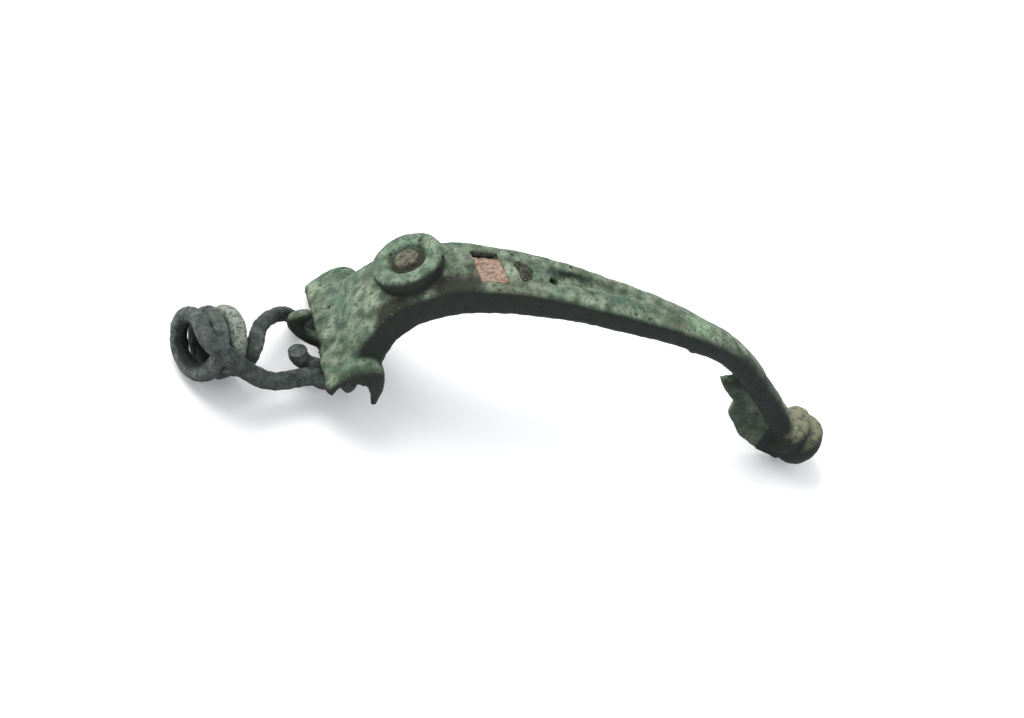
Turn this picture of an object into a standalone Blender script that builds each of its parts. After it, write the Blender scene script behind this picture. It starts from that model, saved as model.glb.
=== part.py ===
# Roman headstud brooch: a cast bow with its enamel, a coiled wire head loop and a stub of its spring.
# Units are metres. The brooch is drawn arch up, with +X from head to foot and +Y across its wings,
# with the wings' underside at z = 0, and it is laid down as it rests when loose at the end.
import math

import bmesh
import bpy
import numpy as np
from mathutils import Matrix, Vector

MM = 0.001

# Driving sizes of the casting.
BODY_LENGTH = 57.0 * MM          # wings' front edge to the end of the foot knob's axis
ARCH_HEIGHT = 15.9 * MM          # wings' underside to the crest of the bow's top
BOW_CORNER = 0.55 * MM           # rounding between the bow's top and its sides
WING_SPAN = 16.3 * MM            # from wing end to wing end
WING_SHIFT = 0.35 * MM           # the far wing is a little the longer
WING_SKEW = 1.6                  # degrees that the crossbar stands off square
WING_DEPTH = 5.8 * MM            # along the brooch
WING_HEIGHT = 4.3 * MM
WING_END_ROUNDING = 0.9 * MM
WING_LEAD = 0.5 * MM             # how far the far wing's end leans forward
HOLLOW_RADIUS = 2.1 * MM         # half tunnel for the spring under the wings
HOLLOW_DROP = 0.1 * MM           # the tunnel's axis above the underside

STUD_DIAMETER = 7.7 * MM
STUD_HEIGHT = 3.2 * MM           # from its face down into the bow
STUD_PROUD = 1.5 * MM            # its face above the bow's crown
STUD_WAIST = 0.35 * MM           # how far the drum draws in below its rim
STUD_LEAN = 43.8                 # degrees that its axis leans towards the head
STUD_RIM_SWELL = 0.12 * MM       # how far the rim's crown stands over its face
STUD_CUP_RADIUS = 2.0 * MM
STUD_CUP_DEPTH = 0.7 * MM
STUD_BOSS = 0.8 * MM             # height of the filling's middle
FILLING_GAP = 0.05 * MM          # all round each enamel filling, so that the solids stay apart

CELL_DEPTH = 0.85 * MM
FIRST_CELL = (3.0 * MM, 4.5 * MM)     # along the bow, across it
SECOND_CELL = (2.0 * MM, 3.4 * MM)
PIT_RADIUS = 0.62 * MM
PIT_DEPTH = 1.2 * MM
PIT_ASIDE = -0.55 * MM          # the pit's middle off the bow's middle
GROOVE_LENGTH = 10.5 * MM
GROOVE_WIDTH = 2.8 * MM
GROOVE_DEPTH = 0.85 * MM
GROOVE_ASIDE = 0.45 * MM         # the groove's middle off the bow's middle

HOOK_WIRE = 1.55 * MM
CATCH_THICKNESS = 1.1 * MM
KNOB_RADIUS = 3.0 * MM
KNOB_SEAT = 2.45 * MM            # how far the leg runs into the knob
KNOB_LENGTH = 4.7 * MM

# Driving sizes of the loop's wire and the stub of the spring.
LOOP_WIRE = 1.75 * MM
COIL_RADIUS = 3.0 * MM           # to the middle of the wire
COIL_TURNS = 2.72
COIL_TAPER = 0.35 * MM           # how much closer the last turn lies
COIL_PITCH = 2.1 * MM
SPRING_WIRE = 2.1 * MM

# Places along the bow, as shares of its own arc length from the head.
STUD_AT = 0.153
FIRST_CELL_AT = 0.267
SECOND_CELL_AT = 0.325
PIT_AT = 0.377
GROOVE_FROM = 0.391

# Stations of the bow: share of the body's length along, share of the arch's height up, then the
# width, the thickness and how far the top is crowned.
BOW_STATIONS = (
    (0.055, 0.130, 13.0 * MM, 3.2 * MM, 0.5 * MM),
    (0.070, 0.390, 10.4 * MM, 3.2 * MM, 0.9 * MM),
    (0.105, 0.590, 8.8 * MM, 3.4 * MM, 0.9 * MM),
    (0.160, 0.745, 8.2 * MM, 3.5 * MM, 0.5 * MM),
    (0.240, 0.838, 7.5 * MM, 3.3 * MM, 0.2 * MM),
    (0.340, 0.888, 6.9 * MM, 2.9 * MM, 0.2 * MM),
    (0.440, 0.893, 6.2 * MM, 2.6 * MM, 0.3 * MM),
    (0.540, 0.880, 5.5 * MM, 2.3 * MM, 0.5 * MM),
    (0.635, 0.850, 4.7 * MM, 1.9 * MM, 0.7 * MM),
    (0.720, 0.781, 4.0 * MM, 1.8 * MM, 0.7 * MM),
    (0.795, 0.645, 3.4 * MM, 1.8 * MM, 0.6 * MM),
    (0.852, 0.485, 3.1 * MM, 2.0 * MM, 0.5 * MM),
    (0.905, 0.335, 3.3 * MM, 2.2 * MM, 0.5 * MM),
    (0.960, 0.230, 3.9 * MM, 2.4 * MM, 0.5 * MM),
)

# Section of the crossbar from its front edge over its top to its back: shares of its depth and height.
WING_SECTION = (
    (0.0, 0.0), (0.03, 0.17), (0.09, 0.37), (0.18, 0.57), (0.30, 0.76), (0.44, 0.92), (0.58, 1.0),
    (0.72, 0.97), (0.84, 0.86), (0.93, 0.66), (0.98, 0.36), (1.0, 0.0),
)

# Broken outline of the catchplate: share of the body's length along, share of the arch's height up.
CATCH_OUTLINE = (
    (0.780, 0.600), (0.748, 0.545), (0.768, 0.480), (0.800, 0.400), (0.803, 0.280), (0.845, 0.145),
    (0.895, 0.060), (0.945, 0.020), (0.965, 0.080), (0.975, 0.230), (0.900, 0.330), (0.840, 0.500),
)

# Routes of the wires, in millimetres. The hook held the spring's chord: it leaves the head's front
# edge and curls up and back.
HOOK_ROUTE = ((2.2, -0.2, 1.0), (0.3, -0.3, 0.6), (-1.6, -0.2, 0.8), (-2.9, 0.0, 1.5), (-3.3, 0.1, 2.2),
              (-2.7, 0.2, 2.75), (-2.0, 0.3, 2.75))
# Axis and middle of the coiled eye, the angle from its top at which it starts, and the two legs.
COIL_AXIS = Vector((-0.915, -0.413, -0.022)).normalized()
COIL_CENTRE = Vector((-13.75, -4.2, -0.95)) * MM
COIL_START = -5.0
NEAR_LEG = ((3.0, -5.9, 0.5), (2.4, -4.9, 0.1), (1.2, -4.3, -1.1), (-0.5, -4.1, -1.2), (-2.2, -4.6, -1.6),
            (-3.6, -5.2, -1.8), (-5.2, -5.9, -1.6), (-7.6, -6.8, -0.45), (-9.6, -7.3, 0.7),
            (-11.4, -7.5, 1.8), (-13.0, -7.0, 2.2))
FAR_LEG = ((-7.2, -3.6, 0.35), (-7.1, -2.4, 0.9), (-6.7, -1.1, 1.15), (-5.75, 0.3, 1.15), (-4.4, 1.8, 0.9),
           (-2.9, 3.0, 0.2), (-1.2, 4.1, -1.0), (0.9, 4.6, -1.2), (2.6, 5.1, 0.1), (3.0, 5.9, 0.5))
SPRING_ROUTE = ((2.4, -2.1, -0.3), (0.9, -2.0, -1.3), (-0.6, -2.0, -1.3), (-1.8, -2.0, -0.6), (-2.3, -2.0, 0.1))


def clearScene():
    for obj in list(bpy.data.objects):
        bpy.data.objects.remove(obj, do_unlink=True)


def material(name, colour, roughness, metallic):
    mat = bpy.data.materials.new(name)
    mat.use_nodes = True
    shader = mat.node_tree.nodes["Principled BSDF"]
    shader.inputs["Base Color"].default_value = (*colour, 1.0)
    shader.inputs["Roughness"].default_value = roughness
    shader.inputs["Metallic"].default_value = metallic
    return mat


def meshObject(name, verts, faces, mat=None):
    mesh = bpy.data.meshes.new(name)
    mesh.from_pydata([tuple(v) for v in verts], [], [tuple(f) for f in faces])
    mesh.validate()
    work = bmesh.new()
    work.from_mesh(mesh)
    bmesh.ops.recalc_face_normals(work, faces=work.faces)
    work.to_mesh(mesh)
    work.free()
    obj = bpy.data.objects.new(name, mesh)
    bpy.context.scene.collection.objects.link(obj)
    if mat:
        mesh.materials.append(mat)
    return obj


def smoothShade(obj, degrees=40.0):
    obj.data.shade_smooth()
    obj.data.set_sharp_from_angle(angle=math.radians(degrees))


def helper(obj):
    obj.hide_render = True
    obj.display_type = "WIRE"
    return obj


def boolean(target, tool, operation):
    mod = target.modifiers.new(tool.name, "BOOLEAN")
    mod.operation = operation
    mod.solver = "EXACT"
    mod.object = helper(tool)


def inMetres(route):
    return [tuple(c * MM for c in p) for p in route]


def smoothRows(rows, perSpan):
    """Catmull-Rom rows through the given rows."""
    pts = np.array(rows, dtype=float)
    ext = np.vstack([2 * pts[0] - pts[1], pts, 2 * pts[-1] - pts[-2]])
    out = []
    for i in range(len(pts) - 1):
        p0, p1, p2, p3 = ext[i:i + 4]
        for k in range(perSpan):
            t = k / perSpan
            out.append(0.5 * (2 * p1 + (p2 - p0) * t + (2 * p0 - 5 * p1 + 4 * p2 - p3) * t ** 2
                              + (3 * p1 - p0 - 3 * p2 + p3) * t ** 3))
    out.append(pts[-1])
    return np.array(out)


def loft(name, rings, mat=None):
    """Closed skin over rings of equally many points, with a fan cap at each end."""
    count = len(rings[0])
    verts = [p for ring in rings for p in ring]
    faces = []
    for i in range(len(rings) - 1):
        for k in range(count):
            a = i * count + k
            b = i * count + (k + 1) % count
            faces.append((a, b, b + count, a + count))
    faces.append(tuple(reversed(range(count))))
    faces.append(tuple(range((len(rings) - 1) * count, len(rings) * count)))
    return meshObject(name, verts, faces, mat)


def bowRows():
    rows = [(x * BODY_LENGTH, z * ARCH_HEIGHT, w, t, c) for x, z, w, t, c in BOW_STATIONS]
    return smoothRows(rows, 3)


def bowFrames():
    """Centre, tangent and outward normal in the XZ plane, with width, thickness and crown."""
    rows = bowRows()
    step = np.gradient(rows[:, :2], axis=0)
    step /= np.linalg.norm(step, axis=1, keepdims=True)
    return [(Vector((r[0], 0, r[1])), Vector((s[0], 0, s[1])), Vector((-s[1], 0, s[0])), r[2], r[3], r[4])
            for r, s in zip(rows, step)]


def bowSection(width, thick, crown):
    """Strap section: crowned top, rounded upper corners, flat back. Pairs of across and outward."""
    half = width / 2
    flat = half - BOW_CORNER
    pts = []
    for k in range(7):
        y = flat * (2 * k / 6 - 1)
        pts.append((y, thick / 2 + crown * (1 - (y / half) ** 2)))
    edge = thick / 2 + crown * (1 - (flat / half) ** 2)
    pts.append((half - 0.3 * BOW_CORNER, edge - 0.35 * BOW_CORNER))
    pts.append((half, edge - BOW_CORNER))
    pts.append((half, -thick / 2 + BOW_CORNER))
    pts.append((flat, -thick / 2))
    pts.append((0, -thick / 2))
    pts.append((-flat, -thick / 2))
    pts.append((-half, -thick / 2 + BOW_CORNER))
    pts.append((-half, edge - BOW_CORNER))
    pts.append((-half + 0.3 * BOW_CORNER, edge - 0.35 * BOW_CORNER))
    return pts


def makeBow(mat):
    rings = []
    for centre, tangent, normal, width, thick, crown in bowFrames():
        rings.append([centre + normal * n + Vector((0, y, 0)) for y, n in bowSection(width, thick, crown)])
    return loft("brooch_body", rings, mat)


def onBow(share):
    """Frame at a share of the bow's own arc length."""
    frames = bowFrames()
    lengths = [0.0]
    for a, b in zip(frames, frames[1:]):
        lengths.append(lengths[-1] + (b[0] - a[0]).length)
    want = share * lengths[-1]
    i = min(range(len(lengths)), key=lambda k: abs(lengths[k] - want))
    j = min(i + 1, len(frames) - 1) if lengths[i] < want else max(i - 1, 0)
    span = lengths[j] - lengths[i]
    t = (want - lengths[i]) / span if span else 0.0
    mix = [a * (1 - t) + b * t for a, b in zip(frames[i], frames[j])]
    mix[1].normalize()
    mix[2].normalize()
    return mix


def place(frame, across=0.0):
    """Matrix with X along the bow, Y across it and Z outwards from its crowned top."""
    centre, tangent, normal, _, thick, crown = frame
    top = centre + normal * (thick / 2 + crown) + Vector((0, across, 0))
    side = normal.cross(tangent)
    return Matrix.Translation(top) @ Matrix((tangent, side, normal)).transposed().to_4x4()


def wingMatrix():
    """Turns the crossbar off square about its middle and shifts it across."""
    middle = Vector((WING_DEPTH / 2, 0, 0))
    turn = Matrix.Rotation(math.radians(WING_SKEW), 4, "Z")
    return Matrix.Translation(middle + Vector((0, WING_SHIFT, 0))) @ turn @ Matrix.Translation(-middle)


def makeWings():
    """Crossbar: its section, sloped in front, carried along Y and drawn in at its ends."""
    rings = []
    half = WING_SPAN / 2
    steps = [(-half, 0.78), (-half + 0.3 * WING_END_ROUNDING, 0.93), (-half + WING_END_ROUNDING, 1.0),
             (-half * 0.45, 1.0), (0.0, 1.0), (half * 0.45, 1.0), (half - WING_END_ROUNDING, 1.0),
             (half - 0.3 * WING_END_ROUNDING, 0.97), (half, 0.9)]
    for y, size in steps:
        ring = []
        for along, up in WING_SECTION:
            x = WING_DEPTH * (0.5 + (along - 0.5) * size) - WING_LEAD * max(0.0, y / half) ** 2
            z = WING_HEIGHT * up * size
            ring.append(wingMatrix() @ Vector((x, y, z)))
        rings.append(ring)
    return loft("wings", rings)


def makeHollow():
    """Half tunnel under the wings, open below and at both ends, for the spring and the loop's legs."""
    half = WING_SPAN
    rings = []
    for y in (-half, half):
        ring = [(WING_DEPTH / 2 + HOLLOW_RADIUS, y, -2 * HOLLOW_RADIUS)]
        for k in range(13):
            a = math.pi * k / 12
            ring.append((WING_DEPTH / 2 + HOLLOW_RADIUS * math.cos(a), y,
                         HOLLOW_DROP + HOLLOW_RADIUS * math.sin(a)))
        ring.append((WING_DEPTH / 2 - HOLLOW_RADIUS, y, -2 * HOLLOW_RADIUS))
        rings.append([wingMatrix() @ Vector(p) for p in ring])
    return loft("wing_hollow", rings)


def turned(name, profile, segments, matrix, mat=None):
    """Solid of revolution about local Z from pairs of radius and height, closed on its axis."""
    rings = []
    for radius, height in profile:
        rings.append([matrix @ Vector((radius * math.cos(2 * math.pi * k / segments),
                                       radius * math.sin(2 * math.pi * k / segments), height))
                      for k in range(segments)])
    return loft(name, rings, mat)


def studMatrix():
    frame = onBow(STUD_AT)
    lean = Vector((-math.sin(math.radians(STUD_LEAN)), 0, math.cos(math.radians(STUD_LEAN))))
    side = Vector((0, 1, 0))
    along = side.cross(lean)
    face = frame[0] + frame[2] * (frame[4] / 2 + frame[5]) + lean * STUD_PROUD
    return Matrix.Translation(face) @ Matrix((along, side, lean)).transposed().to_4x4()


def makeStud():
    r = STUD_DIAMETER / 2
    profile = [(r - STUD_WAIST, -STUD_HEIGHT), (r - STUD_WAIST, -STUD_HEIGHT * 0.45), (r, -STUD_HEIGHT * 0.28),
               (r, -STUD_HEIGHT * 0.1), (r * 0.93, 0.0), (r * 0.75, STUD_RIM_SWELL),
               (STUD_CUP_RADIUS * 1.1, 0.0), (STUD_CUP_RADIUS, -STUD_CUP_DEPTH * 0.3),
               (STUD_CUP_RADIUS * 0.95, -STUD_CUP_DEPTH)]
    return turned("stud_drum", profile, 32, studMatrix())


def makeStudEnamel(mat):
    r = STUD_CUP_RADIUS * 0.95 - FILLING_GAP
    base = -STUD_CUP_DEPTH + FILLING_GAP
    profile = [(r, base), (r * 0.92, base + STUD_BOSS * 0.22), (r * 0.8, base + STUD_BOSS * 0.3),
               (r * 0.68, base + STUD_BOSS * 0.8), (r * 0.4, base + STUD_BOSS), (r * 0.05, base + STUD_BOSS)]
    obj = turned("stud_enamel", profile, 20, studMatrix(), mat)
    smoothShade(obj)
    return obj


def cellSolid(name, frame, outline, bottom, top, mat=None):
    """Prism over an outline on the bow's top, from bottom to top along its normal."""
    matrix = place(frame)
    rings = [[matrix @ Vector((x, y, z)) for x, y in outline] for z in (bottom, top)]
    return loft(name, rings, mat)


def cellOutline(size, gap=0.0, slant=0.12):
    """Four-sided cell, its sides leaning a little along the bow, shrunk by the gap."""
    along = size[0] / 2 - gap
    across = size[1] / 2 - gap
    lean = slant * size[0]
    return [(-along + lean, -across), (along + lean, -across), (along - lean, across), (-along - lean, across)]


def lozengeOutline(size, gap=0.0):
    along = size[0] / 2 - gap
    across = size[1] / 2 - gap
    return [(-along * 0.2, -across), (along, -across * 0.35), (along * 0.9, across * 0.6), (-along * 0.3, across),
            (-along, across * 0.5)]


def cutCells(body):
    over = 1.0 * MM
    frame = onBow(FIRST_CELL_AT)
    boolean(body, cellSolid("first_cell_cut", frame, cellOutline(FIRST_CELL), -CELL_DEPTH, over), "DIFFERENCE")
    frame = onBow(SECOND_CELL_AT)
    boolean(body, cellSolid("second_cell_cut", frame, lozengeOutline(SECOND_CELL), -CELL_DEPTH * 0.6, over),
            "DIFFERENCE")
    pit = turned("third_cell_cut", [(PIT_RADIUS * 0.6, -PIT_DEPTH), (PIT_RADIUS, over)], 10,
                 place(onBow(PIT_AT), PIT_ASIDE))
    boolean(body, pit, "DIFFERENCE")
    boolean(body, makeGroove(), "DIFFERENCE")


def makeGroove():
    """Long V-shaped trough that narrows and runs out along the bow."""
    rings = []
    total = sum((b[0] - a[0]).length for a, b in zip(bowFrames(), bowFrames()[1:]))
    steps = 6
    for k in range(steps + 1):
        t = k / steps
        frame = onBow(GROOVE_FROM + t * GROOVE_LENGTH / total)
        matrix = place(frame)
        half = GROOVE_WIDTH / 2 * (1 - 0.86 * t) * min(1.0, 0.45 + 2.2 * t)
        depth = GROOVE_DEPTH * (1 - 0.75 * t)
        lift = 0.5 * MM
        ring = [(-half, lift), (half * 1.25, lift), (half, -0.12 * MM), (half * 0.72, -depth),
                (half * 0.3, -depth), (-half, -0.12 * MM)]
        rings.append([matrix @ Vector((0, y + GROOVE_ASIDE, z)) for y, z in ring])
    return loft("groove_cut", rings)


def knobMatrix():
    frame = onBow(1.0)
    along = frame[1]
    side = Vector((0, 1, 0))
    start = frame[0] - along * KNOB_SEAT
    return Matrix.Translation(start) @ Matrix((side.cross(along), side, along)).transposed().to_4x4()


def makeKnob():
    """Foot knob: a hollow neck, a collar, a groove, a fuller second collar and a domed end."""
    r = KNOB_RADIUS
    h = KNOB_LENGTH
    profile = [(r * 0.45, -0.25 * h), (r * 0.55, -0.08 * h), (r * 0.8, 0.04 * h), (r * 0.95, 0.14 * h),
               (r * 0.97, 0.22 * h), (r * 0.84, 0.32 * h), (r * 0.84, 0.38 * h), (r * 0.98, 0.48 * h),
               (r, 0.62 * h), (r * 0.93, 0.76 * h), (r * 0.72, 0.9 * h), (r * 0.35, 0.99 * h)]
    return turned("foot_knob", profile, 24, knobMatrix())


def makeCatchplate():
    rings = []
    for y in (-CATCH_THICKNESS / 2, CATCH_THICKNESS / 2):
        rings.append([(x * BODY_LENGTH, y, z * ARCH_HEIGHT) for x, z in CATCH_OUTLINE])
    return loft("catchplate", rings)


def tube(name, route, radii, segments, mat=None):
    """Round wire along a route of points, with its ends rounded off by two short rings."""
    pts = [Vector(p) for p in route]
    rings = []
    normal = None
    for i, p in enumerate(pts):
        a = pts[max(i - 1, 0)]
        b = pts[min(i + 1, len(pts) - 1)]
        tangent = (b - a).normalized()
        if normal is None:
            normal = tangent.orthogonal().normalized()
        normal = (normal - tangent * normal.dot(tangent)).normalized()
        other = tangent.cross(normal)
        circle = [normal * math.cos(2 * math.pi * k / segments) + other * math.sin(2 * math.pi * k / segments)
                  for k in range(segments)]
        if i == 0:
            rings.append([p - tangent * radii[i] * 0.35 + c * radii[i] * 0.7 for c in circle])
        rings.append([p + c * radii[i] for c in circle])
        if i == len(pts) - 1:
            rings.append([p + tangent * radii[i] * 0.35 + c * radii[i] * 0.7 for c in circle])
    return loft(name, rings, mat)


def makeHook():
    route = smoothRows(inMetres(HOOK_ROUTE), 3)
    return tube("chord_hook", route, [HOOK_WIRE / 2] * len(route), 10)


def coilPoints(perTurn):
    """Helix about the eye's axis; its angle runs from the top, over the left side, to the bottom."""
    axis = COIL_AXIS
    up = (Vector((0, 0, 1)) - axis * axis.z).normalized()
    left = axis.cross(up)
    out = []
    steps = int(COIL_TURNS * perTurn)
    for k in range(steps + 1):
        turn = COIL_TURNS * k / steps
        a = math.radians(COIL_START) + 2 * math.pi * turn
        radius = COIL_RADIUS - COIL_TAPER * turn / COIL_TURNS
        out.append(COIL_CENTRE + (up * math.cos(a) + left * math.sin(a)) * radius - axis * COIL_PITCH * turn)
    return out


def makeLoop(mat):
    coil = coilPoints(22)
    rows = [tuple(p) for p in smoothRows(inMetres(NEAR_LEG) + [tuple(coil[0])], 2)[:-1]]
    near = len(rows)
    rows += [tuple(p) for p in coil]
    rows += [tuple(p) for p in smoothRows([tuple(coil[-1])] + inMetres(FAR_LEG), 2)[1:]]
    radii = []
    for i in range(len(rows)):
        t = (i - near) / len(coil)
        swell = 0.2 * math.exp(-((t - 0.82) / 0.2) ** 2)
        thin = 0.12 if t > 1.1 else 0.0
        lead = 0.1 if t < 0 else 0.0
        radii.append(LOOP_WIRE / 2 * (1 + swell - thin + lead))
    obj = tube("head_loop", rows, radii, 10, mat)
    smoothShade(obj)
    return obj


def makeSpringStub(mat):
    route = smoothRows(inMetres(SPRING_ROUTE), 3)
    radii = [SPRING_WIRE / 2 * (0.8 + 0.2 * i / (len(route) - 1)) for i in range(len(route))]
    obj = tube("spring_stub", route, radii, 10, mat)
    smoothShade(obj)
    return obj


def centreOfMass(objects):
    """Volume centroid of the closed meshes as evaluated, and all their points."""
    graph = bpy.context.evaluated_depsgraph_get()
    volume = 0.0
    moment = Vector()
    points = []
    for obj in objects:
        mesh = obj.evaluated_get(graph).to_mesh()
        mesh.calc_loop_triangles()
        for tri in mesh.loop_triangles:
            a, b, c = (mesh.vertices[i].co for i in tri.vertices)
            part = a.dot(b.cross(c)) / 6
            volume += part
            moment += (a + b + c) * part / 4
        points += [v.co.copy() for v in mesh.vertices]
        obj.evaluated_get(graph).to_mesh_clear()
    return moment / volume, points


def restingDirection(middle, points):
    """Outward normal of the hull's steadiest face among those below the brooch."""
    work = bmesh.new()
    for p in points:
        work.verts.new((p - middle) / MM)
    bmesh.ops.convex_hull(work, input=work.verts)
    best = None
    widest = 0.0
    for face in work.faces:
        face.normal_update()
        normal = face.normal if face.normal.dot(face.calc_center_median()) > 0 else -face.normal
        foot = normal * normal.dot(face.verts[0].co)
        corners = [v.co for v in face.verts]
        inward = [(b - a).cross(foot - a).dot(face.normal) / (b - a).length
                  for a, b in zip(corners, corners[1:] + corners[:1])]
        if normal.z < -0.7 and min(inward) > widest:
            widest = min(inward)
            best = normal.copy()
    work.free()
    return best


def layDown(objects):
    """Parents everything to one empty that lays the brooch on the three spots it rests on."""
    middle, points = centreOfMass([obj for obj in objects if not obj.hide_render])
    down = restingDirection(middle, points)
    turn = down.rotation_difference(Vector((0, 0, -1))).to_matrix()
    ahead = turn @ Vector((1, 0, 0))
    turn = Matrix.Rotation(-math.atan2(ahead.y, ahead.x), 3, "Z") @ turn
    spread = np.array([turn @ p for p in points])
    low = spread.min(axis=0)
    high = spread.max(axis=0)
    rest = bpy.data.objects.new("rest_frame", None)
    bpy.context.scene.collection.objects.link(rest)
    rest.rotation_euler = turn.to_euler()
    rest.location = (-(low[0] + high[0]) / 2, -(low[1] + high[1]) / 2, -low[2])
    for obj in objects:
        obj.parent = rest


def build():
    clearScene()
    bronze = material("green_bronze", (0.30, 0.38, 0.30), 0.75, 0.0)
    wire = material("grey_wire", (0.20, 0.20, 0.18), 0.6, 0.3)
    brown = material("brown_filling", (0.30, 0.24, 0.17), 0.9, 0.0)
    red = material("red_enamel", (0.62, 0.38, 0.32), 0.8, 0.0)
    body = makeBow(bronze)
    for tool in (makeWings(), makeStud(), makeKnob(), makeCatchplate(), makeHook()):
        boolean(body, tool, "UNION")
    boolean(body, makeHollow(), "DIFFERENCE")
    cutCells(body)
    smoothShade(body)
    makeStudEnamel(brown)
    cellSolid("enamel_first_cell", onBow(FIRST_CELL_AT), cellOutline(FIRST_CELL, FILLING_GAP),
                       -CELL_DEPTH + FILLING_GAP, -0.2 * MM, red)
    cellSolid("enamel_second_cell", onBow(SECOND_CELL_AT), lozengeOutline(SECOND_CELL, FILLING_GAP),
                        -CELL_DEPTH * 0.6 + FILLING_GAP, -0.2 * MM, brown)
    makeLoop(wire)
    makeSpringStub(brown)
    layDown(list(bpy.data.objects))


build()
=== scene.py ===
import math

import bmesh
import bpy
import numpy as np
from mathutils import Euler, Matrix, Vector


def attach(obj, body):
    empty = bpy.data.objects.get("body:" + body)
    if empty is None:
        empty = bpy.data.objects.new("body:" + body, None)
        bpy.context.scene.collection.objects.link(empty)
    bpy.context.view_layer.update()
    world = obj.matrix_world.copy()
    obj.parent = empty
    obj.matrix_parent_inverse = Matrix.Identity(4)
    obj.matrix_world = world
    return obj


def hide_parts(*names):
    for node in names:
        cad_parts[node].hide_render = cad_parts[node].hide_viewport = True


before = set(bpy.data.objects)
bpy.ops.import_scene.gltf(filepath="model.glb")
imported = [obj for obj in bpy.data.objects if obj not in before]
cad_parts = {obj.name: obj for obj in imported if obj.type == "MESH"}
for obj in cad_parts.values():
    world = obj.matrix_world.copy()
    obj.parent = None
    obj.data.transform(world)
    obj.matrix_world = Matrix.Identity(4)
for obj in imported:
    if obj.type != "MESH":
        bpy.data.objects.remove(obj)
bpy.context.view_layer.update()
print("frame loaded")

# The brooch is thought of arch up, in millimetres, with +X from head to foot and +Y across its wings.
# restTurn and restShift are how it lies: world = turned point + shift.
restTurn = (-16.8303, 3.6564, 0.0)
restShift = np.array([-21.0529, -0.7751, 3.2903])
restMatrix = np.array(Euler([math.radians(a) for a in restTurn]).to_matrix())


def toArchUp(world):
    return (world * 1000.0 - restShift) @ restMatrix


def toWorld(archUp):
    return (np.asarray(archUp, dtype=float) @ restMatrix.T + restShift) / 1000.0


# Random number between -1 and 1 for each lattice corner, from its whole coordinates.
def cornerValue(cell, seed):
    cell = cell.astype(np.int64)
    mixed = cell[..., 0] * 73856093 ^ cell[..., 1] * 19349663 ^ cell[..., 2] * 83492791 ^ seed * 974634777
    mixed = (mixed ^ (mixed >> 13)) * 1274126177 & 0xFFFFFFFF
    mixed = (mixed ^ (mixed >> 15)) * 2246822519 & 0xFFFFFFFF
    mixed ^= mixed >> 16
    return (mixed & 0xFFFFFF) / float(0xFFFFFF) * 2.0 - 1.0


# Value noise: the eight corner values around each point, blended by a smooth step of its place in the cell.
def latticeNoise(points, size, seed):
    scaled = points / size
    low = np.floor(scaled)
    part = scaled - low
    part = part * part * (3 - 2 * part)
    total = np.zeros(len(points))
    for dx in (0, 1):
        for dy in (0, 1):
            for dz in (0, 1):
                weight = np.abs(1 - np.array((dx, dy, dz)) - part).prod(axis=1)
                total += weight * cornerValue(low + (dx, dy, dz), seed)
    return total


# Sum of noises, each half the size and a little over half the strength of the one before.
def roughNoise(points, size, seed, layers=3):
    total = np.zeros(len(points))
    strength = 1.0
    for k in range(layers):
        total += strength * latticeNoise(points, size / 2 ** k, seed + k)
        strength *= 0.55
    return total


# Pits: the distance to the nearest scattered point, one to a cell, where only some cells hold one.
def pitField(points, size, radius, share, seed):
    low = np.floor(points / size)
    nearest = np.full(len(points), 9.0)
    for dx in (-1, 0, 1):
        for dy in (-1, 0, 1):
            for dz in (-1, 0, 1):
                cell = low + (dx, dy, dz)
                offset = np.stack([cornerValue(cell, seed + a) for a in (1, 2, 3)], axis=1) * 0.5 + 0.5
                gap = np.linalg.norm(points - (cell + offset) * size, axis=1) / radius
                gap = np.where(cornerValue(cell, seed + 4) * 0.5 + 0.5 < share, gap, 9.0)
                nearest = np.minimum(nearest, gap)
    return np.clip(1 - nearest ** 2, 0, 1)


def smoothStep(value, low, high):
    t = np.clip((value - low) / (high - low), 0, 1)
    return t * t * (3 - 2 * t)


# Soft ball about a place given arch up: 1 in the middle, falling off by its radius.
def softSpot(points, place, radius):
    return np.exp(-(((points - np.array(place)) / np.array(radius)) ** 2).sum(axis=1))


# Moves every vertex towards the mean of its neighbours.
def relax(points, edges, rounds, keep=0.5):
    count = np.bincount(edges.ravel(), minlength=len(points))[:, None]
    for _ in range(rounds):
        total = np.zeros_like(points)
        for axis in range(3):
            total[:, axis] = (np.bincount(edges[:, 0], points[edges[:, 1], axis], len(points))
                              + np.bincount(edges[:, 1], points[edges[:, 0], axis], len(points)))
        points = points * keep + total / np.maximum(count, 1) * (1 - keep)
    return points


def readVerts(mesh):
    flat = np.empty(len(mesh.vertices) * 3)
    mesh.vertices.foreach_get("co", flat)
    return flat.reshape(-1, 3)


def vertexNormals(mesh):
    flat = np.empty(len(mesh.vertices) * 3)
    mesh.vertex_normals.foreach_get("vector", flat)
    return flat.reshape(-1, 3)


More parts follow.
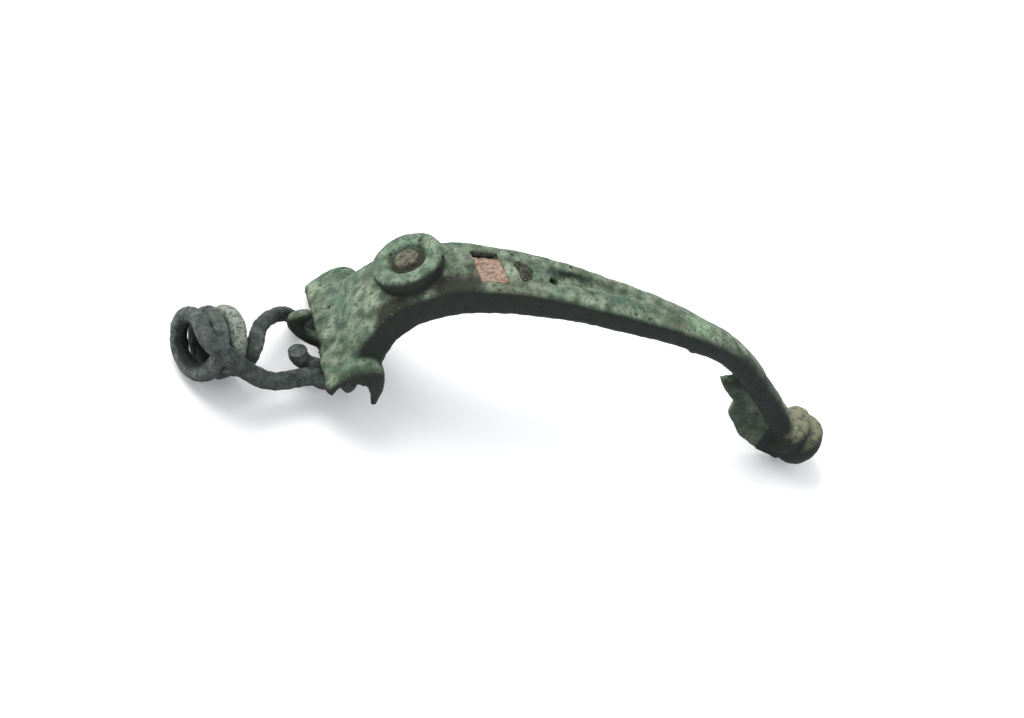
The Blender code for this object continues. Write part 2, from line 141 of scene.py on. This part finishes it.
# Copies a CAD node, merges it and covers it with an even skin of small squares.
def evenSkin(node, name, detail, rounds):
    work = bmesh.new()
    work.from_mesh(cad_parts[node].data)
    bmesh.ops.remove_doubles(work, verts=work.verts, dist=1e-6)
    bmesh.ops.scale(work, vec=(1000, 1000, 1000), verts=work.verts)
    rawMesh = bpy.data.meshes.new(name + "Raw")
    work.to_mesh(rawMesh)
    work.free()
    raw = bpy.data.objects.new(name + "Raw", rawMesh)
    bpy.context.scene.collection.objects.link(raw)
    skin = raw.modifiers.new("evenSkin", "REMESH")
    skin.mode = "VOXEL"
    skin.voxel_size = detail
    mesh = bpy.data.meshes.new_from_object(raw.evaluated_get(bpy.context.evaluated_depsgraph_get()))
    bpy.data.objects.remove(raw, do_unlink=True)
    edges = np.empty(len(mesh.edges) * 2, dtype=np.int64)
    mesh.edges.foreach_get("vertices", edges)
    points = relax(readVerts(mesh), edges.reshape(-1, 2), rounds) / 1000
    mesh.vertices.foreach_set("co", points.ravel())
    mesh.update()
    mesh.materials.clear()
    mesh.name = name
    return mesh


def finishPiece(name, mesh, material, node, masks):
    for key, values in masks.items():
        layer = mesh.attributes.new(key, "FLOAT", "POINT")
        layer.data.foreach_set("value", np.clip(values, 0, 1).astype(np.float32))
    mesh.materials.append(material)
    mesh.shade_smooth()
    piece = bpy.data.objects.new(name, mesh)
    bpy.context.scene.collection.objects.link(piece)
    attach(piece, "root")
    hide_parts(node)
    print("made", name, len(mesh.polygons), "faces")
    return piece


# Shader maths: a wrapped socket adds its own Math nodes.
class Value:
    def __init__(self, shader, socket):
        self.shader = shader
        self.socket = socket

    def join(self, operation, a, b):
        return self.shader.node("ShaderNodeMath", {"operation": operation}, {0: a, 1: b})

    def __add__(self, other):
        return self.join("ADD", self, other)

    def __radd__(self, other):
        return self.join("ADD", other, self)

    def __sub__(self, other):
        return self.join("SUBTRACT", self, other)

    def __rsub__(self, other):
        return self.join("SUBTRACT", other, self)

    def __mul__(self, other):
        return self.join("MULTIPLY", self, other)

    def __rmul__(self, other):
        return self.join("MULTIPLY", other, self)


class Shader:
    def __init__(self, name):
        self.material = bpy.data.materials.new(name)
        self.material.use_nodes = True
        self.tree = self.material.node_tree
        self.surface = self.tree.nodes["Principled BSDF"]

    def node(self, kind, settings, inputs, output=0):
        made = self.tree.nodes.new(kind)
        for key, value in settings.items():
            setattr(made, key, value)
        for key, value in inputs.items():
            self.feed(made.inputs[key], value)
        return Value(self, made.outputs[output])

    def feed(self, socket, value):
        if isinstance(value, Value):
            self.tree.links.new(value.socket, socket)
        else:
            socket.default_value = value

    def mask(self, name):
        return self.node("ShaderNodeAttribute", {"attribute_name": name}, {}, "Fac")

    def place(self):
        return self.node("ShaderNodeTexCoord", {}, {}, "Object")

    # Noise of a given grain in millimetres.
    def grain(self, size, detail=3.0, low=0.35, high=0.65):
        noise = self.node("ShaderNodeTexNoise", {},
                          {"Vector": self.place(), "Scale": 1000 / size, "Detail": detail})
        return self.node("ShaderNodeMapRange", {"clamp": True},
                         {"Value": noise, "From Min": low, "From Max": high, "To Min": 0.0, "To Max": 1.0})

    def blend(self, factor, a, b):
        mix = self.tree.nodes.new("ShaderNodeMix")
        mix.data_type = "RGBA"
        mix.clamp_factor = True
        for socket, value in ((mix.inputs["Factor"], factor), (mix.inputs[6], a), (mix.inputs[7], b)):
            self.feed(socket, value if isinstance(value, (Value, float)) else (*value, 1.0))
        return Value(self, mix.outputs[2])

    def finish(self, colour, roughness, bumpHeight, depth, metallic=0.0):
        bump = self.node("ShaderNodeBump", {},
                         {"Height": bumpHeight, "Strength": 1.0, "Distance": depth / 1000}, "Normal")
        self.feed(self.surface.inputs["Base Color"], colour)
        self.feed(self.surface.inputs["Roughness"], roughness)
        self.feed(self.surface.inputs["Normal"], bump)
        self.surface.inputs["Metallic"].default_value = metallic
        self.surface.inputs["Specular IOR Level"].default_value = 0.2
        return self.material


bodyLook = {
    "detail": 0.165,              # mm, the side of a skin square
    "swell": 0.10,                # mm, broad unevenness of the corroded casting
    "crust": 0.045,               # mm, crusty grain
    "pits": 0.16,                 # mm, depth of the pits
    "lumps": 0.38,                # mm, height of the lumps under the arch
    "greenTan": (0.054, 0.082, 0.050),
    "paleGreen": (0.225, 0.270, 0.190),
    "turquoise": (0.050, 0.122, 0.082),
    # deep green mottle, also the colour of painted shade
    "deepGreenAndShade": (0.010, 0.020, 0.012),
    # soil brown, also the colour of painted shade behind and under the stud
    "earthAndShade": (0.019, 0.020, 0.014),
    # colour of the painted shade, with dark patina, on the sides turned from the lamp
    "shadeAndDarkPatina": (0.011, 0.015, 0.012),
    "ochre": (0.085, 0.078, 0.046),
    "footYellow": (0.170, 0.172, 0.112),
    "speck": (0.010, 0.015, 0.010),
    "paleSpeck": (0.30, 0.34, 0.26),
    "lightGreen": (0.20, 0.32, 0.19),
    "roughness": 0.72,
}


def bodyMaterial(look):
    s = Shader("corrodedBronze")
    colour = s.blend(s.grain(1.1, 5.0, 0.38, 0.60), look["greenTan"], look["paleGreen"])
    colour = s.blend(s.grain(4.2, 3.0, 0.50, 0.66) * 0.55, colour, look["greenTan"])
    colour = s.blend(s.mask("turquoise") * s.grain(0.9, 4.0, 0.3, 0.6), colour, look["turquoise"])
    colour = s.blend(s.grain(3.1, 2.0, 0.52, 0.66) * 0.45, colour, look["turquoise"])
    colour = s.blend(s.mask("footYellow"), colour, look["footYellow"])
    colour = s.blend(s.mask("ochre") * s.grain(0.8, 4.0, 0.3, 0.62), colour, look["ochre"])
    colour = s.blend(s.grain(0.55, 3.0, 0.50, 0.62) * 0.6, colour, look["deepGreenAndShade"])
    # painted shade in deep green on the near wing's end, under the arch, in the groove and on the knob's near
    # side
    colour = s.blend(s.mask("deepGreenAndShade") * s.grain(0.8, 3.0, 0.1, 0.4), colour, look["deepGreenAndShade"])
    # soil brown with painted shade behind the stud, on its drum's lower side and along the arris
    colour = s.blend(s.mask("earthAndShade"), colour, look["earthAndShade"])
    colour = s.blend(s.mask("lightGreen") * s.grain(0.5, 3.0, 0.3, 0.5), colour, look["lightGreen"])
    # painted shade, with dark patina, on the sides turned from the lamp
    colour = s.blend(s.mask("shadeAndDarkPatina"), colour, look["shadeAndDarkPatina"])
    specks = s.grain(0.33, 2.0, 0.62, 0.70)
    colour = s.blend(specks * 0.65, colour, look["speck"])
    pale = s.grain(0.27, 2.0, 0.66, 0.74)
    colour = s.blend(pale * (1.0 - s.mask("shadeAndDarkPatina")) * 0.6, colour, look["paleSpeck"])
    colour = s.blend(s.mask("pit") * 0.85, colour, look["speck"])
    height = s.grain(0.35, 4.0, 0.2, 0.8) + s.grain(0.14, 2.0, 0.3, 0.7) * 0.5
    return s.finish(colour, look["roughness"] - s.grain(1.2) * 0.1, height, 0.05)


# Soft balls where crust, colours and painted shade gather, each a strength, a place arch up and its radii, in
# millimetres.
bodyPatches = {
    # under the arch, near the leg
    "lumps": ((1.0, (36.8, -1.6, 11.6), (1.5, 1.6, 0.9)), (1.0, (41.6, -1.4, 9.9), (1.5, 1.4, 0.9))),
    # soil brown and painted shade: beside the bow's foot, behind the stud and along the arris
    "earthAndShade": (
        (1.0, (7.0, -3.4, 7.5), (3.4, 2.6, 3.6)), (1.0, (11.2, -1.4, 13.4), (1.5, 4.0, 2.4)),
        (1.5, (8.8, -3.0, 13.1), (2.0, 1.6, 1.5)), (0.8, (18.5, -3.2, 13.6), (5.0, 1.1, 1.2)),
        (1.0, (3.6, -4.4, 9.6), (1.8, 1.6, 3.0)), (0.5, (6.2, 3.2, 7.0), (2.0, 2.0, 3.0)),
    ),
    # painted shade: the near wing's end, the leg, the groove and the foot knob's near side
    "deepGreenAndShade": (
        (1.3, (3.4, -7.6, 2.0), (2.6, 1.6, 2.6)), (1.0, (44.0, -1.4, 10.6), (2.4, 1.5, 3.4)),
        (1.5, (22.5, 1.0, 16.2), (4.6, 0.8, 1.0)), (1.2, (52.4, -2.4, 3.6), (1.7, 1.8, 2.4)),
    ),
    # the groove's near facet and the head's front
    "turquoise": ((1.0, (27.0, -0.8, 14.9), (4.5, 0.9, 1.2)), (0.6, (1.0, 2.5, 3.6), (1.6, 4.5, 2.4))),
    "ochre": ((1.0, (32.5, -1.6, 14.0), (4.0, 1.2, 1.4)), (0.8, (15.0, -2.6, 14.4), (5.0, 1.2, 1.6))),
    "lightGreen": ((1.0, (37.0, -0.6, 15.0), (1.3, 1.2, 1.3)), (0.5, (3.3, -2.5, 4.0), (1.5, 3.0, 1.5))),
}


def patches(points, name):
    return sum(strength * softSpot(points, place, radius) for strength, place, radius in bodyPatches[name])


def makeBody(look):
    mesh = evenSkin("brooch_body", "corrodedCasting", look["detail"], 6)
    world = readVerts(mesh)
    normals = vertexNormals(mesh)
    place = toArchUp(world)
    facing = normals @ restMatrix
    x, y, z = place.T
    pits = pitField(place, 1.9, 0.34, 0.5, 40) + 0.6 * pitField(place, 0.95, 0.17, 0.5, 60)
    crust = roughNoise(place, 0.9, 11)
    height = look["swell"] * roughNoise(place, 3.4, 5) + look["crust"] * crust
    height -= look["pits"] * np.clip(pits, 0, 1)
    height += look["lumps"] * patches(place, "lumps") * (0.55 + 0.45 * crust) * (facing[:, 2] < 0.3)
    # the contact spots keep their level, so that the brooch lies as its solids do
    height *= smoothStep(world[:, 2] * 1000, 0.0, 0.35)
    moved = world + normals * height[:, None] / 1000
    moved[:, 2] = np.maximum(moved[:, 2], 0.0)
    mesh.vertices.foreach_set("co", moved.ravel())
    mesh.update()
    # painted shade and dark patina: what the surface faces, averaged over about a millimetre, against a
    # direction near the lamp's sets where the sides turned from the lamp are painted dark
    edges = np.empty(len(mesh.edges) * 2, dtype=np.int64)
    mesh.edges.foreach_get("vertices", edges)
    side = relax(facing, edges.reshape(-1, 2), 40) @ np.array((-0.45, 0.45, 0.77))
    ragged = roughNoise(place, 1.6, 21)
    shadeAndPatina = smoothStep(0.10 * ragged - side, -0.48, 0.06)
    earthAndShade = patches(place, "earthAndShade")
    stud = toStud(place)
    onStud = smoothStep(studFace["reach"] - np.hypot(stud[:, 0], stud[:, 1]), 0.0, 0.3)
    onStud *= smoothStep(stud[:, 2], -1.6, -1.1)
    # painted shadow on the stud drum's lower side
    earthAndShade = earthAndShade * (1 - onStud) + onStud * smoothStep(-stud[:, 2], 0.4, 0.9)
    # the catchplate and the foot knob's lit side get less of the painted shade
    plate = smoothStep(x, 39.5, 41.0) * smoothStep(9.0 - z, 0.0, 1.5) * smoothStep(51.0 - x, 0.0, 0.5)
    plate *= smoothStep(0.9 - np.abs(y), 0.0, 0.3)
    foot = smoothStep(x, 51.5, 53.5) * smoothStep(side, -0.25, 0.25)
    masks = {
        "shadeAndDarkPatina": shadeAndPatina * (1 - 0.6 * foot) * (1 - 0.3 * plate),
        "earthAndShade": smoothStep(earthAndShade + 0.18 * ragged, 0.35, 0.95),
        "deepGreenAndShade": smoothStep(patches(place, "deepGreenAndShade") + 0.18 * ragged, 0.25, 0.95),
        "turquoise": 0.45 * onStud + patches(place, "turquoise"),
        "footYellow": smoothStep(x + 0.6 * ragged, 50.6, 52.6),
        "ochre": patches(place, "ochre"),
        "lightGreen": patches(place, "lightGreen"),
        "pit": smoothStep(pits, 0.25, 0.8),
    }
    finishPiece("corrodedCasting", mesh, bodyMaterial(look), "brooch_body", masks)


# Places told from the middle of the stud's face, with Z along its own axis.
studFace = {"middle": (4.177, 0.0, 13.252), "lean": 43.8, "reach": 4.3}


def toStud(place):
    lean = math.radians(studFace["lean"])
    axis = np.array((-math.sin(lean), 0.0, math.cos(lean)))
    across = np.array((0.0, 1.0, 0.0))
    local = place - np.array(studFace["middle"])
    return np.stack([local @ np.cross(across, axis), local @ across, local @ axis], axis=1)


wireLook = {
    "wire": 0.875,                # mm, half its thickness
    "coilRadius": 3.0,
    "turns": 2.72,
    "taper": 0.35,                # mm, how much closer the last turn lies
    "pitch": 2.1,
    "axis": (-0.915, -0.413, -0.022),
    "middle": (-13.75, -4.2, -0.95),
    "start": -5.0,                # degrees from the top of the eye
    "nearLeg": ((3.0, -5.9, 0.5), (2.4, -4.9, 0.1), (1.2, -4.3, -1.1), (-0.5, -4.1, -1.2),
                (-2.2, -4.6, -1.6), (-3.6, -5.2, -1.8), (-5.2, -5.9, -1.6), (-7.6, -6.8, -0.45),
                (-9.6, -7.3, 0.7), (-11.4, -7.5, 1.8), (-13.0, -7.0, 2.2)),
    "farLeg": ((-7.2, -3.6, 0.35), (-7.1, -2.4, 0.9), (-6.7, -1.1, 1.15), (-5.75, 0.3, 1.15),
               (-4.4, 1.8, 0.9), (-2.9, 3.0, 0.2), (-1.2, 4.1, -1.0), (0.9, 4.6, -1.2),
               (2.6, 5.1, 0.1), (3.0, 5.9, 0.5)),
    "greyGreen": (0.032, 0.040, 0.037),
    "paleGrey": (0.105, 0.120, 0.108),
    "accretion": (0.215, 0.240, 0.195),
    "dark": (0.007, 0.009, 0.009),
    "sides": 40,
}


# Smooth curve through points, each span a cubic set by its four nearest points.
def throughPoints(points, perSpan):
    points = np.asarray(points, dtype=float)
    wide = np.vstack([2 * points[0] - points[1], points, 2 * points[-1] - points[-2]])
    t = (np.arange(perSpan) / perSpan)[None, :, None]
    a, b, c, d = (wide[k:len(wide) - 3 + k, None, :] for k in range(4))
    spans = 0.5 * (2 * b + (c - a) * t + (2 * a - 5 * b + 4 * c - d) * t ** 2
                   + (3 * b - a - 3 * c + d) * t ** 3)
    return np.vstack([spans.reshape(-1, 3), points[-1:]])


# Tube: a circle carried along a path on frames that don't twist, each end closed on its middle.
def tubeMesh(name, path, radii, sides, shape):
    tangent = np.gradient(path, axis=0)
    tangent /= np.linalg.norm(tangent, axis=1, keepdims=True)
    normal = np.cross(tangent[0], (0.3, 0.5, 0.81))
    normals = []
    for direction in tangent:
        normal = normal - direction * (normal @ direction)
        normal = normal / np.linalg.norm(normal)
        normals.append(normal)
    normals = np.array(normals)
    sideways = np.cross(tangent, normals)
    turn = np.linspace(0, 2 * math.pi, sides, endpoint=False)
    ring = normals[:, None] * np.cos(turn)[None, :, None] + sideways[:, None] * np.sin(turn)[None, :, None]
    surface = path[:, None] + ring * radii[:, None, None]
    outward = ring.reshape(-1, 3)
    points = surface.reshape(-1, 3)
    points = points + outward * shape(points)[:, None]
    rows = len(path)
    across, along = np.meshgrid(np.arange(sides), np.arange(rows - 1))
    first = along * sides + across
    second = along * sides + (across + 1) % sides
    quads = np.stack([first, second, second + sides, first + sides], axis=-1).reshape(-1, 4)
    ends = np.array([path[0] - tangent[0] * radii[0] * 0.5, path[-1] + tangent[-1] * radii[-1] * 0.5])
    points = np.vstack([points, ends])
    k = np.arange(sides)
    lastRow = (rows - 1) * sides
    caps = [np.stack([np.full(sides, len(points) - 2), (k + 1) % sides, k], axis=1),
            np.stack([np.full(sides, len(points) - 1), lastRow + k, lastRow + (k + 1) % sides], axis=1)]
    mesh = bpy.data.meshes.new(name)
    faces = quads.tolist() + caps[0].tolist() + caps[1].tolist()
    world = toWorld(points)
    world[:, 2] = np.maximum(world[:, 2], 0.0)
    mesh.from_pydata(world.tolist(), [], faces)
    mesh.update()
    return mesh, points


def wireMaterial(look):
    s = Shader("corrodedWire")
    colour = s.blend(s.grain(0.9, 4.0), look["greyGreen"], look["paleGrey"])
    colour = s.blend(s.mask("accretion") * s.grain(0.5, 4.0, 0.3, 0.55), colour, look["accretion"])
    colour = s.blend(s.mask("shaded"), colour, look["dark"])
    colour = s.blend(s.grain(0.3, 3.0, 0.55, 0.66) * 0.7, colour, look["dark"])
    colour = s.blend(s.grain(0.22, 2.0, 0.66, 0.74) * 0.5, colour, look["accretion"])
    height = s.grain(0.3, 4.0, 0.2, 0.8) + s.grain(0.12, 2.0, 0.3, 0.7) * 0.5
    return s.finish(colour, 0.72 - s.grain(1.2) * 0.1, height, 0.05)


def wireShape(points):
    return (0.07 * roughNoise(points, 1.3, 71) + 0.05 * roughNoise(points, 0.5, 75)
            - 0.12 * pitField(points, 1.5, 0.3, 0.4, 80))


def makeLoop(look):
    axis = np.array(look["axis"]) / np.linalg.norm(look["axis"])
    up = np.array((0.0, 0.0, 1.0)) - axis * axis[2]
    up /= np.linalg.norm(up)
    left = np.cross(axis, up)
    turn = np.linspace(0, look["turns"], 280)
    angle = np.radians(look["start"]) + 2 * math.pi * turn
    reach = look["coilRadius"] - look["taper"] * turn / look["turns"]
    outward = np.cos(angle)[:, None] * up + np.sin(angle)[:, None] * left
    coil = np.array(look["middle"]) + reach[:, None] * outward - axis * look["pitch"] * turn[:, None]
    near = throughPoints(np.vstack([look["nearLeg"], coil[:1]]), 14)[:-1]
    far = throughPoints(np.vstack([coil[-1:], look["farLeg"]]), 14)[1:]
    path = np.vstack([near, coil, far])
    share = (np.arange(len(path)) - len(near)) / len(coil)
    swell = 0.14 * np.exp(-((share - 0.85) / 0.2) ** 2)
    thin = 0.12 * smoothStep(share, 1.0, 1.15)
    lead = 0.08 * smoothStep(-share, 0.0, 0.2)
    radii = look["wire"] * (1 + swell - thin + lead)
    mesh, points = tubeMesh("loopWire", path, radii, look["sides"], wireShape)
    ringShare = np.append(np.repeat(share, look["sides"]), [-1.0, 2.0])
    facing = vertexNormals(mesh) @ restMatrix
    ragged = roughNoise(points, 1.1, 90)
    # painted shade on the faces turned from the lamp
    shaded = smoothStep(-(facing @ np.array((-0.3, 0.25, 0.92))) + 0.12 * ragged, 0.0, 0.6)
    # painted shade on the inside of the eye; the legs are also made darker than the coil's outside
    fromAxis = points - np.array(look["middle"])
    fromAxis -= (fromAxis @ axis)[:, None] * axis
    fromAxis /= np.maximum(np.linalg.norm(fromAxis, axis=1), 1e-6)[:, None]
    onCoil = (ringShare > 0) & (ringShare < 1)
    inside = smoothStep(-(facing * fromAxis).sum(axis=1), 0.1, 0.7) * onCoil
    shaded = np.maximum(shaded * 0.85, np.maximum(inside * 0.95, 0.38 * ~onCoil))
    masks = {
        "accretion": smoothStep(np.exp(-((ringShare - 0.80) / 0.26) ** 2) + 0.35 * ragged, 0.35, 0.8)
                     * smoothStep(facing[:, 2], 0.1, 0.6),
        "shaded": shaded,
    }
    finishPiece("loopWire", mesh, wireMaterial(look), "head_loop", masks)


stubLook = {
    "route": ((2.4, -2.1, -0.3), (0.9, -2.0, -1.3), (-0.6, -2.0, -1.3), (-1.8, -2.0, -0.6), (-2.3, -2.0, 0.1)),
    "radius": 1.0,
}


def makeStub(look):
    path = throughPoints(look["route"], 14)
    radii = look["radius"] * np.linspace(0.8, 1.0, len(path))
    radii[0] *= 0.75
    radii[-3:] *= (0.95, 0.85, 0.65)
    mesh, points = tubeMesh("springStub", path, radii, 36, wireShape)
    facing = vertexNormals(mesh) @ restMatrix
    masks = {"accretion": np.zeros(len(points)), "shaded": smoothStep(-facing[:, 2], -0.1, 0.6) * 0.8}
    finishPiece("springStub", mesh, wireMaterial(wireLook), "spring_stub", masks)


fillingLooks = {
    "stud_enamel": {
        "piece": "studFilling", "slot": "brown_filling", "detail": 0.07, "rough": 0.10, "grainSize": 0.55,
        "low": (0.034, 0.034, 0.021), "high": (0.115, 0.115, 0.078), "speck": (0.24, 0.24, 0.19), "seed": 101,
    },
    "enamel_first_cell": {
        "piece": "redEnamel", "slot": "red_enamel", "detail": 0.06, "rough": 0.10, "grainSize": 0.35,
        "low": (0.150, 0.090, 0.066), "high": (0.320, 0.225, 0.175), "speck": (0.48, 0.42, 0.34), "seed": 111,
    },
    "enamel_second_cell": {
        "piece": "brownResidue", "slot": "brown_filling", "detail": 0.06, "rough": 0.10, "grainSize": 0.4,
        "low": (0.011, 0.011, 0.007), "high": (0.048, 0.052, 0.036), "speck": (0.20, 0.21, 0.16), "seed": 121,
    },
}


def makeFilling(node, look):
    mesh = evenSkin(node, look["piece"], look["detail"], 3)
    world = readVerts(mesh)
    normals = vertexNormals(mesh)
    place = toArchUp(world)
    up = smoothStep((normals @ restMatrix)[:, 2], 0.35, 0.75)
    grain = roughNoise(place, look["grainSize"], look["seed"])
    height = look["rough"] * grain * up
    if node == "enamel_first_cell":
        # the far strip has fallen out
        height -= 0.5 * smoothStep(place[:, 1] + 0.3 * grain, 1.25, 1.7) * up
    mesh.vertices.foreach_set("co", (world + normals * height[:, None] / 1000).ravel())
    mesh.update()
    s = Shader(look["piece"])
    colour = s.blend(s.grain(0.45, 4.0), look["low"], look["high"])
    colour = s.blend(s.grain(0.2, 2.0, 0.6, 0.68) * 0.7, colour, look["speck"])
    # painted shade in the recesses, near black
    colour = s.blend(s.mask("hollowShade"), colour, (0.02, 0.02, 0.016))
    material = s.finish(colour, 0.8, s.grain(0.2, 3.0, 0.2, 0.8), 0.05)
    hollowShade = np.zeros(len(place))
    # painted shade where the far strip has fallen out
    if node == "enamel_first_cell":
        hollowShade = smoothStep(place[:, 1] + 0.3 * grain, 1.3, 1.75)
    if node == "stud_enamel":
        # painted shade: the recessed ring round the filling's middle is painted dark
        stud = toStud(place)
        hollowShade = 0.85 * smoothStep(np.hypot(stud[:, 0], stud[:, 1]) + 0.12 * grain, 1.1, 1.45)
    finishPiece(look["piece"], mesh, material, node, {"hollowShade": hollowShade})


makeBody(bodyLook)
makeLoop(wireLook)
makeStub(stubLook)
for fillingNode, fillingLook in fillingLooks.items():
    makeFilling(fillingNode, fillingLook)


studio = {
    "floor": (0.93, 0.93, 0.93),
    "lamp": (-0.56, 0.20, 0.76),      # towards the lamp, arch up
    "lampDistance": 0.6,              # m
    "lampSize": 0.40,
    "lampPower": 3.4,                 # W
    "sky": 1.08,
}


def makeStudio(look):
    mesh = bpy.data.meshes.new("paleFloor")
    mesh.from_pydata([(-3, -3, 0), (3, -3, 0), (3, 3, 0), (-3, 3, 0)], [], [(0, 1, 2, 3)])
    floor = bpy.data.objects.new("paleFloor", mesh)
    bpy.context.scene.collection.objects.link(floor)
    paint = Shader("floorPaint")
    paint.surface.inputs["Base Color"].default_value = (*look["floor"], 1)
    paint.surface.inputs["Roughness"].default_value = 0.9
    paint.surface.inputs["Specular IOR Level"].default_value = 0.0
    mesh.materials.append(paint.material)
    direction = Vector(restMatrix @ np.array(look["lamp"])).normalized()
    lamp = bpy.data.lights.new("softLamp", "AREA")
    lamp.size = look["lampSize"]
    lamp.energy = look["lampPower"]
    lampObject = bpy.data.objects.new("softLamp", lamp)
    lampObject.location = direction * look["lampDistance"]
    lampObject.rotation_euler = direction.to_track_quat("Z", "Y").to_euler()
    bpy.context.scene.collection.objects.link(lampObject)
    world = bpy.data.worlds.new("paleRoom")
    world.use_nodes = True
    world.node_tree.nodes["Background"].inputs["Color"].default_value = (0.96, 0.98, 1.0, 1)
    world.node_tree.nodes["Background"].inputs["Strength"].default_value = look["sky"]
    bpy.context.scene.world = world
    bpy.context.scene.view_settings.view_transform = "Standard"


# Camera's own axes and place, told arch up in millimetres.
cameraLook = {
    "right": (0.89424103, -0.14003775, 0.42511458),
    "up": (-0.23146, 0.66825098, 0.70701266),
    "back": (-0.3830917, -0.73063675, 0.56516431),
    "eye": (-110.283, -249.052, 196.872),
    "lens": 116.0,
}


def makeCamera(look):
    data = bpy.data.cameras.new("studioCamera")
    data.lens = look["lens"]
    data.sensor_width = 36.0
    data.clip_start = 0.01
    camera = bpy.data.objects.new("studioCamera", data)
    axes = restMatrix @ np.array([look["right"], look["up"], look["back"]]).T
    matrix = Matrix(axes.tolist()).to_4x4()
    matrix.translation = Vector(toWorld(look["eye"]))
    camera.matrix_world = matrix
    bpy.context.scene.collection.objects.link(camera)
    bpy.context.scene.camera = camera


makeStudio(studio)
makeCamera(cameraLook)
print("studio ready")
